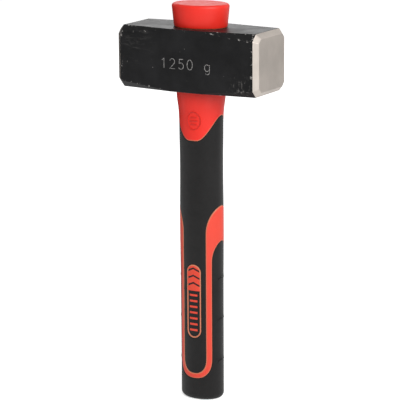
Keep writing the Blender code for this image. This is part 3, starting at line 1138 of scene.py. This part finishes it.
class LUMPHAMMER_OT_upper_grip(bpy.types.Operator):
    """Builds the soft sleeve with its front and rear panels"""

    bl_idname = "lumphammer.upper_grip"
    bl_label = "Upper Soft Grip"

    def execute(self, context):
        sizes = context.scene.hammer_sizes
        black = soft_plastic("soft_black", context.scene.hammer_colours.soft_black)
        gap = sizes.seam_gap

        def keep(angle, z):
            inside = PANEL_LINE.edge(angle, gap) < z < tongue_edge(angle, gap)
            return inside and not in_pill(angle, z, -gap)

        drawing = Drawing()
        soft_edges(drawing, tongue_path, sizes)
        soft_edges(drawing, PANEL_LINE.path, sizes)
        soft_edges(drawing, pill_path, sizes, -1.0)
        bm = soft_shell(drawing, keep, PANEL_BOW_RISE, HEAD_BOTTOM, sizes)
        finished_object("soft_upper_grip", bm, [black], ["upper_soft_grip"])
        return {"FINISHED"}


class LUMPHAMMER_OT_lower_grip(bpy.types.Operator):
    """Builds the soft boot with its side panels and butt"""

    bl_idname = "lumphammer.lower_grip"
    bl_label = "Lower Soft Grip"

    def execute(self, context):
        sizes = context.scene.hammer_sizes
        black = soft_plastic("soft_black", context.scene.hammer_colours.soft_black)
        sink = sizes.soft_sink
        gap = sizes.seam_gap

        def keep(angle, z):
            return z < SIDE_LINE.edge(angle, gap)

        drawing = Drawing()
        drawing.row(BUTT_THICKNESS, sink)
        soft_edges(drawing, SIDE_LINE.path, sizes)
        for z in RIB_HEIGHTS:
            drawing.rib(z, sink)
        low = BUTT_THICKNESS
        bm = soft_shell(drawing, keep, low, HEAD_BOTTOM, sizes, closed_rows=(low,))
        wide = smooth_outline(BUTT_THICKNESS)
        rings = [oval_ring(bm, wide, BUTT_THICKNESS, sink)]
        edge = quarter_round(wide, 0.0, BUTT_ROUND, 8, downwards=False)
        for half_width, z, inset in reversed(edge):
            rings.append(oval_ring(bm, half_width, z, inset + sink))
        rings.append(oval_ring(bm, wide, 0.0, BUTT_ROUND * 1.8))
        bridge(bm, rings)
        cap_ring(bm, rings[-1], (0.0, 0.0, 0.0))
        floor = oval_ring(bm, wide, BUTT_THICKNESS, SOFT_THICKNESS - GAP)
        cap_ring(bm, floor, (0.0, 0.0, BUTT_THICKNESS))
        finished_object("soft_lower_grip", bm, [black], ["lower_soft_grip"])
        return {"FINISHED"}


def strip(bm, half_width, low_at, high_at, depth, inner_depth, side, centre=0.0):
    """A thin closed plate on the skin, between two heights that depend on x."""
    across = 20
    soften = 0.00006
    layers = []
    for level, inset in ((inner_depth, 0.0), (depth + soften, 0.0), (depth, soften)):
        low_row = []
        high_row = []
        for n in range(across + 1):
            share = math.sin(math.radians(180.0 * n / across - 90.0))
            x = (half_width - inset) * share
            angle = math.degrees(math.asin((centre + x) / GRIP_HALF_WIDTH))
            low = min(low_at(x) + inset, high_at(x) - inset)
            high = max(high_at(x) - inset, low + WELD * 4.0)
            low_row.append(bm.verts.new(skin_point(angle, low, level, side)))
            high_row.append(bm.verts.new(skin_point(angle, high, level, side)))
        layers.append(low_row + high_row[::-1])
    bridge(bm, layers)
    for layer in (layers[0], layers[-1]):
        count = len(layer)
        for n in range(across):
            bm.faces.new((layer[n], layer[n + 1], layer[count - 2 - n], layer[count - 1 - n]))


def bar(bm, half_width, z, thickness, *rest):
    """A strip of one thickness that lies level across the skin."""
    strip(bm, half_width, lambda x: z - thickness / 2.0, lambda x: z + thickness / 2.0, *rest)


class LUMPHAMMER_OT_badges(bpy.types.Operator):
    """Builds the front and rear badge: a soft infill with red chevrons and bars"""

    bl_idname = "lumphammer.badges"
    bl_label = "Badges"

    plate_low = 0.0797
    chevron_gap = 0.0013
    chevron_pitch = 0.0052
    chevron_slope = 0.45
    border_cover = 0.35
    bar_pitch = 0.0042
    bar_thickness = 0.0015
    bar_share = 0.62
    first_bar = 0.75
    bars = 7
    clearance = 0.00001

    def execute(self, context):
        sizes = context.scene.hammer_sizes
        colours = context.scene.hammer_colours
        black = soft_plastic("soft_black", colours.soft_black)
        red = moulded_plastic("badge_red", colours.badge_red, colours.painted_highlight)
        for word, halves in (("front", FRONT_HALVES), ("rear", REAR_HALVES)):
            self.infill(word, halves, sizes, black)
            self.marks(word, halves[0], sizes, red)
        return {"FINISHED"}

    def infill(self, word, halves, sizes, black):
        start = BADGE_BORDER + sizes.seam_gap

        def keep(angle, z):
            return in_pill(angle, z, start)

        drawing = Drawing()
        drawing.edge(pill_path, sizes.seam_width, sizes.seam_depth, sizes.soft_sink, start=start)
        low = BADGE_MIDDLE - BADGE_LENGTH / 2.0
        bm = soft_shell(drawing, keep, low, low + BADGE_LENGTH, sizes, halves)
        node = word + "_badge_infill"
        finished_object("soft_" + node, bm, [black], [node])

    def marks(self, word, side, sizes, red):
        """A red plate with chevrons cut through it, over a column of red bars."""
        inner = sizes.soft_sink - self.clearance
        outer = self.clearance
        half = BADGE_WIDTH / 2.0 - BADGE_BORDER * (1.0 - self.border_cover)
        straight = (BADGE_LENGTH - BADGE_WIDTH) / 2.0
        bm = bmesh.new()

        def pill_top(x):
            return BADGE_MIDDLE + straight + math.sqrt(max(0.0, half * half - x * x))

        def chevron(z):
            return lambda x: z - self.chevron_slope * abs(x)

        levels = [self.plate_low + self.chevron_pitch * n for n in range(1, 4)]
        lows = [lambda x: self.plate_low] + [chevron(z + self.chevron_gap) for z in levels]
        highs = [chevron(z) for z in levels] + [pill_top]
        for low_at, high_at in zip(lows, highs):
            strip(bm, half, low_at, high_at, outer, inner, side)
        for n in range(self.bars):
            z = self.plate_low - self.bar_pitch * (n + self.first_bar)
            bar(bm, half * self.bar_share, z, self.bar_thickness, outer, inner, side)
        finished_object(word + "_badge_marks", bm, [red])


class LUMPHAMMER_OT_emblem(bpy.types.Operator):
    """Builds the raised oval ring with three bars on the collar"""

    bl_idname = "lumphammer.emblem"
    bl_label = "Collar Emblem"

    centre_x = 0.0012
    centre_z = 0.2004
    half_width = 0.0052
    half_height = 0.0065
    line = 0.0009
    slope = 0.28
    rise = 0.00045
    sunk = 0.00004
    ring_sides = 64
    bars = ((0.0024, 0.42), (0.0, 0.52), (-0.0024, 0.42))

    def execute(self, context):
        colours = context.scene.hammer_colours
        # The emblem is the collar's own red plastic; its darker tint is painted shade, standing in
        # for the shadows round its raised ring and bars
        red = moulded_plastic("emblem_red_painted_shade", tinted(colours.hard_red, 0.78), colours.painted_highlight)
        bm = bmesh.new()
        loops = []
        profile = (
            (0.0, self.sunk),
            (self.line * self.slope, -self.rise),
            (self.line * (1.0 - self.slope), -self.rise),
            (self.line, self.sunk),
            (self.line, self.sunk * 2.0),
            (0.0, self.sunk * 2.0),
        )
        for inset, depth in profile:
            loop = []
            for n in range(self.ring_sides):
                turn = 2.0 * math.pi * n / self.ring_sides
                x = self.centre_x + (self.half_width - inset) * math.cos(turn)
                z = self.centre_z + (self.half_height - inset) * math.sin(turn)
                angle = math.degrees(math.asin(x / GRIP_HALF_WIDTH))
                loop.append(bm.verts.new(skin_point(angle, z, depth)))
            loops.append(loop)
        bridge(bm, loops + loops[:1])
        place = (-self.rise, self.sunk, QUARTERS[0], self.centre_x)
        for offset, share in self.bars:
            bar(bm, self.half_width * share, self.centre_z + offset, self.line, *place)
        finished_object("collar_emblem", bm, [red], sharp=60.0)
        return {"FINISHED"}


class LUMPHAMMER_OT_inner_parts(bpy.types.Operator):
    """Gives the resin in the eye and the fibreglass core their finishes"""

    bl_idname = "lumphammer.inner_parts"
    bl_label = "Inner Parts"

    def execute(self, context):
        colours = context.scene.hammer_colours
        finishes = {
            "eye_bond": cured_resin(colours.resin),
            "fibreglass_core": drawn_fibreglass(colours.fibreglass),
        }
        for node, material in finishes.items():
            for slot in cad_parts[node].material_slots:
                slot.material = material
        return {"FINISHED"}


def direction(azimuth, elevation):
    """Unit vector out from the hammer; azimuth 0 is the front and 90 the right side."""
    turn = math.radians(azimuth)
    lift = math.radians(elevation)
    level = math.cos(lift)
    return Vector((math.sin(turn) * level, -math.cos(turn) * level, math.sin(lift)))


def sheet(name, half_width, half_height, finish):
    """A flat sheet of the stage, lying level."""
    bm = bmesh.new()
    bmesh.ops.create_grid(bm, x_segments=8, y_segments=8, size=1.0)
    bmesh.ops.scale(bm, vec=(half_width, half_height, 1.0), verts=bm.verts)
    made = linked_object(name, bm)
    made.data.materials.append(finish.material)
    return made


def area_light(name, azimuth, elevation, distance, size, power):
    """A soft light aimed at the hammer's middle."""
    away = direction(azimuth, elevation)
    data = bpy.data.lights.new(name, "AREA")
    data.shape = "RECTANGLE"
    data.size, data.size_y = size
    data.energy = power
    lamp = bpy.data.objects.new(name, data)
    lamp.location = Vector((0.0, 0.0, CAP_TOP / 2.0)) + away * distance
    lamp.rotation_euler = away.to_track_quat("Z", "Y").to_euler()
    lamp.visible_camera = False
    bpy.context.scene.collection.objects.link(lamp)


class LUMPHAMMER_OT_stage(bpy.types.Operator):
    """Builds the pale floor, the soft studio light and the camera"""

    bl_idname = "lumphammer.stage"
    bl_label = "Stage"

    azimuth = 29.69
    elevation = 12.897
    roll = -0.35
    distance = 1.43754
    lens = 185.85
    aim_height = 0.14217
    aim_across = -0.00123
    sensor = 36.0
    floor_reach = 12.0
    floor_drop = 0.0002
    card_azimuth = 240.0
    card_distance = 0.55
    card_height = 0.12
    card_half_size = (0.5, 0.25)

    def execute(self, context):
        self.floor(context)
        self.card()
        self.sky(context)
        self.lamps(context)
        self.camera(context)
        context.scene.view_settings.view_transform = "Standard"
        return {"FINISHED"}

    def floor(self, context):
        colour = context.scene.hammer_colours.floor
        finish = Finish("pale_floor", colour, 0.9, specular=0.1)
        cloud = finish.noise(3.0, 2.0, 0.5)
        tone = finish.blend(cloud, tinted(colour, 0.995), tinted(colour, 1.005))
        finish.drive("Base Color", tone)
        finish.drive("Emission Color", (1.0, 1.0, 1.0, 1.0))
        seen = finish.nodes.new("ShaderNodeLightPath").outputs["Is Camera Ray"]
        glow = finish.maths("MULTIPLY", seen, context.scene.hammer_lights.backdrop)
        finish.drive("Emission Strength", glow)
        floor = sheet("pale_floor", self.floor_reach, self.floor_reach, finish)
        floor.location.z = -self.floor_drop

    def card(self):
        """A dark card to the rear left, which only reflections in the steel see."""
        finish = Finish("dark_card", (0.02, 0.02, 0.02), 0.9, specular=0.1)
        card = sheet("dark_card", *self.card_half_size, finish)
        away = direction(self.card_azimuth, 0.0)
        card.location = away * self.card_distance + Vector((0.0, 0.0, self.card_height))
        card.rotation_euler = away.to_track_quat("Z", "Y").to_euler()
        card.visible_camera = False
        card.visible_diffuse = False
        card.visible_shadow = False

    def sky(self, context):
        """All-round light that looks white itself."""
        world = bpy.data.worlds.new("soft_sky")
        world.use_nodes = True
        nodes = world.node_tree.nodes
        background = nodes["Background"]
        background.inputs["Color"].default_value = (1.0, 1.0, 1.0, 1.0)
        seen = nodes.new("ShaderNodeLightPath")
        strength = nodes.new("ShaderNodeMapRange")
        strength.inputs["To Min"].default_value = context.scene.hammer_lights.sky
        strength.inputs["To Max"].default_value = 1.0
        world.node_tree.links.new(seen.outputs["Is Camera Ray"], strength.inputs["Value"])
        world.node_tree.links.new(strength.outputs["Result"], background.inputs["Strength"])
        context.scene.world = world

    def lamps(self, context):
        lights = context.scene.hammer_lights
        area_light("key_light", 49.0, 36.0, 1.6, (1.0, 1.1), lights.key)
        area_light("side_light", 140.0, 12.0, 1.8, (1.2, 0.9), lights.side)
        area_light("top_light", 162.0, 36.0, 1.8, (0.9, 0.6), lights.top)
        area_light("back_light", 214.0, 20.0, 1.8, (0.9, 0.5), lights.back)

    def camera(self, context):
        lean = math.radians(self.roll)
        back = direction(self.azimuth, self.elevation)
        right = direction(self.azimuth + 90.0, 0.0)
        up = back.cross(right)
        across = right * math.cos(lean) + up * math.sin(lean)
        upwards = up * math.cos(lean) - right * math.sin(lean)
        aim = right * self.aim_across + Vector((0.0, 0.0, self.aim_height))
        data = bpy.data.cameras.new("camera")
        data.lens = self.lens
        data.sensor_width = self.sensor
        data.clip_end = self.floor_reach * 4.0
        camera = bpy.data.objects.new("camera", data)
        pose = Matrix((across, upwards, back)).transposed().to_4x4()
        pose.translation = aim + back * self.distance
        camera.matrix_world = pose
        context.scene.collection.objects.link(camera)
        context.scene.camera = camera


OPERATORS = (
    LUMPHAMMER_OT_head,
    LUMPHAMMER_OT_body,
    LUMPHAMMER_OT_emblem,
    LUMPHAMMER_OT_upper_grip,
    LUMPHAMMER_OT_lower_grip,
    LUMPHAMMER_OT_badges,
    LUMPHAMMER_OT_inner_parts,
    LUMPHAMMER_OT_stage,
)


class LUMPHAMMER_PT_panel(bpy.types.Panel):
    """Lists the hammer's settings and pieces"""

    bl_label = "Lump Hammer"
    bl_idname = "LUMPHAMMER_PT_panel"
    bl_space_type = "VIEW_3D"
    bl_region_type = "UI"
    bl_category = "Hammer"

    def draw(self, context):
        layout = self.layout
        for group, kind in GROUPS.items():
            box = layout.box()
            for name in kind.__annotations__:
                box.prop(getattr(context.scene, group), name)
        for operator in OPERATORS:
            layout.operator(operator.bl_idname)


GROUPS = {
    "hammer_sizes": HammerSizes,
    "hammer_colours": HammerColours,
    "hammer_lights": HammerLights,
}


def register():
    for item in (*GROUPS.values(), *OPERATORS, LUMPHAMMER_PT_panel):
        bpy.utils.register_class(item)
    for name, group in GROUPS.items():
        setattr(bpy.types.Scene, name, bpy.props.PointerProperty(type=group))


def unregister():
    for name in GROUPS:
        delattr(bpy.types.Scene, name)
    for item in (LUMPHAMMER_PT_panel, *reversed(OPERATORS), *reversed(GROUPS.values())):
        bpy.utils.unregister_class(item)


def plain(box):
    """A box's two corners as lists of numbers."""
    return [[float(part) for part in point] for point in box]


def main():
    register()
    for operator in OPERATORS:
        group, name = operator.bl_idname.split(".")
        getattr(getattr(bpy.ops, group), name)()
    bpy.context.view_layer.update()


if __name__ == "__main__":
    main()
